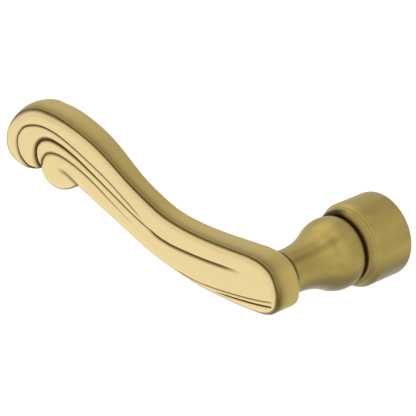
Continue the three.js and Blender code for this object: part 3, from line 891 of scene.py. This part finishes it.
INNER = [
    ("front_bush", "collar", "nylon", 0.08),
    ("back_plate", "collar", "bright_steel", 0.12),
    ("rear_bush", "collar", "nylon", 0.08),
    ("plate_ring", "collar", "spring_steel", 0.1),
    ("stop_pin", "collar", "bright_steel", 0.12),
    ("glide_ring", "collar", "nylon", 0.1),
    ("joining_stud", "lever", "bright_steel", 0.1),
    ("locating_dowel", "lever", "bright_steel", 0.12),
    ("drive_hub", "lever", "bright_steel", 0.12),
    ("spring_driver", "lever", "bright_steel", 0.1),
    ("driver_key", "lever", "bright_steel", 0.1),
    ("thrust_washer", "lever", "bright_steel", 0.06),
    ("wave_washer", "lever", "spring_steel", 0.05),
    ("hub_ring", "lever", "spring_steel", 0.1),
    ("set_screw", "set_screw", "black_steel", 0.12),
    ("collar_screw", "collar_screw", "black_steel", 0.1),
]
for node, body, slot, bevel in INNER:
    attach(dress(refined(node, f"{node}_finished", bevel), slot, node), body)

# The spring is left unattached, its bevel applied and its transform baked into its mesh. In the
# handle it winds up
# as the lever turns: its front tang stays in the collar, its rear tang goes round with the driver,
# and the coils between them share out the turn.
spring = applied(refined("return_spring", "return_spring_finished", 0.08))
dress(spring, "spring_steel", "return_spring")
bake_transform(spring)

# ---- studio ----------------------------------------------------------------------------------

VIEW_TARGET = Vector((-41.75, -36.17, 7.83)) * MM
VIEW_TURN = math.radians(47.325)  # the camera stands this far round to the right of the face
VIEW_RISE = math.radians(22.73)
VIEW_ROLL = math.radians(-1.745)  # and is tipped this much
VIEW_DISTANCE = 800 * MM
LENS = 215.2
FLOOR_Z = -600 * MM
WASH_PLACE = (-1900 * MM, 50 * MM, 600 * MM)
WASH_ACROSS = 3900 * MM
WASH_SPREAD = math.radians(40)
WASH_ENERGY = 26
SUN_SPREAD = math.radians(60)
SUN_ENERGY = 0.9
FLOOR_HALF = 4000 * MM
FLOOR_TONE = 0.7
SKY_TINT = (1, 0.98, 0.95, 1)


def camera():
    lens = bpy.data.cameras.new("studio_camera")
    lens.lens = LENS
    lens.clip_start = 0.01
    lens.clip_end = 50
    stand = bpy.data.objects.new("studio_camera", lens)
    towards = Vector((
        math.cos(VIEW_RISE) * math.sin(VIEW_TURN),
        -math.cos(VIEW_RISE) * math.cos(VIEW_TURN),
        math.sin(VIEW_RISE),
    ))
    stand.location = VIEW_TARGET + towards * VIEW_DISTANCE
    level = (-towards).to_track_quat("-Z", "Y")
    stand.rotation_euler = (level @ Quaternion((0, 0, 1), VIEW_ROLL)).to_euler()
    bpy.context.scene.collection.objects.link(stand)
    bpy.context.scene.camera = stand


def lamp(name, kind, place, energy, **settings):
    """A lamp that shines straight down on the floor. The metal sees the lit floor, and not the
    lamp, and neither does the camera."""
    light = bpy.data.lights.new(name, kind)
    light.energy = energy
    for setting, value in settings.items():
        setattr(light, setting, value)
    stand = bpy.data.objects.new(name, light)
    stand.location = place
    stand.visible_glossy = False
    stand.visible_camera = False
    bpy.context.scene.collection.objects.link(stand)


def floor():
    """A wide, plain, pale floor."""
    half, low = FLOOR_HALF / MM, FLOOR_Z / MM
    points = [(-half, -half, low), (half, -half, low), (half, half, low), (-half, half, low)]
    sheet = place("studio_floor", points, [(0, 1, 2, 3)])
    finish = Finish("pale_floor", Base_Color=(FLOOR_TONE, FLOOR_TONE, FLOOR_TONE, 1), Roughness=0.9)
    sheet.data.materials.append(finish.material)


def sky():
    """Soft light from all round, a little warm: a bank of light runs overhead from left to
    right with a softbox beside it, and the upper front and the upper back are dimmer."""
    world = bpy.data.worlds.new("studio")
    bpy.context.scene.world = world
    world.use_nodes = True
    studio = Nodes(world.node_tree)
    ray = studio.node("ShaderNodeTexCoord").outputs["Generated"]

    def patch(direction, start, end):
        """1 in a soft round patch of the sky about that direction, 0 outside it."""
        towards = tuple(Vector(direction).normalized())
        facing = studio.value(
            "ShaderNodeVectorMath", {"operation": "DOT_PRODUCT"}, {0: ray, 1: towards}, 1
        )
        return studio.ramp(facing, start, end)

    softbox = patch((-0.55, 0.25, 0.80), 0.90, 0.985)
    dim_front = patch((-0.05, -0.70, 0.70), 0.60, 0.95)
    dim_back = patch((-0.05, 0.67, 0.74), 0.84, 0.97)
    bank = studio.ramp(abs(studio.part(ray, "Y") + 0.05), 0.30, 0.10)
    strength = 0.67 + 0.25 * softbox + 0.35 * bank - 0.2 * dim_front - 0.13 * dim_back
    background = world.node_tree.nodes["Background"]
    background.inputs["Color"].default_value = SKY_TINT
    studio.tree.links.new(strength.socket, background.inputs["Strength"])


camera()
floor()
sky()
lamp("floor_light", "SUN", (0, 0, 1), SUN_ENERGY, angle=SUN_SPREAD)
lamp(
    "floor_wash", "AREA", WASH_PLACE, WASH_ENERGY,
    shape="DISK", size=WASH_ACROSS, spread=WASH_SPREAD,
)
bpy.context.scene.view_settings.view_transform = "Standard"
